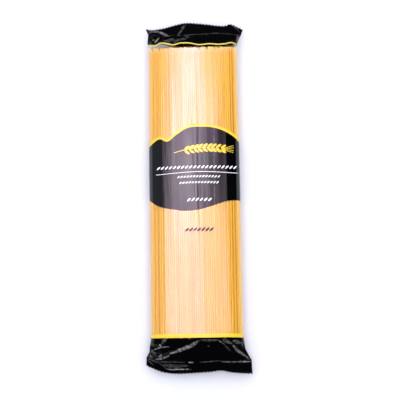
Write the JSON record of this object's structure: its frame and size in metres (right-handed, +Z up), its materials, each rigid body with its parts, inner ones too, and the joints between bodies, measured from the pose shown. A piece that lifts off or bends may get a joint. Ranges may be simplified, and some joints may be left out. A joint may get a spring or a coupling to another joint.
{
  "type": "packet of dry spaghetti",
  "caption": "Clear film packet of long dry pasta strands, lying flat: a tight pillow of film round a bundle, with a folded, printed fin sealed at each end.",
  "frame": {"origin": "bottom centre of the packet's box, on the surface it lies on", "axes": "+Z up out of the face with the label, +Y along the strands towards the packet's top end, +X to the right seen from above"},
  "size_m": [0.0922, 0.306, 0.0247],
  "materials": {
    "clear_film": "gloss",
    "pasta": "matte",
    "black_print": "gloss",
    "yellow_print": "gloss",
    "white_print": "gloss"
  },
  "bodies": {
    "root": {"spaghetti_pack": "clear_film"}
  },
  "joints": []
}
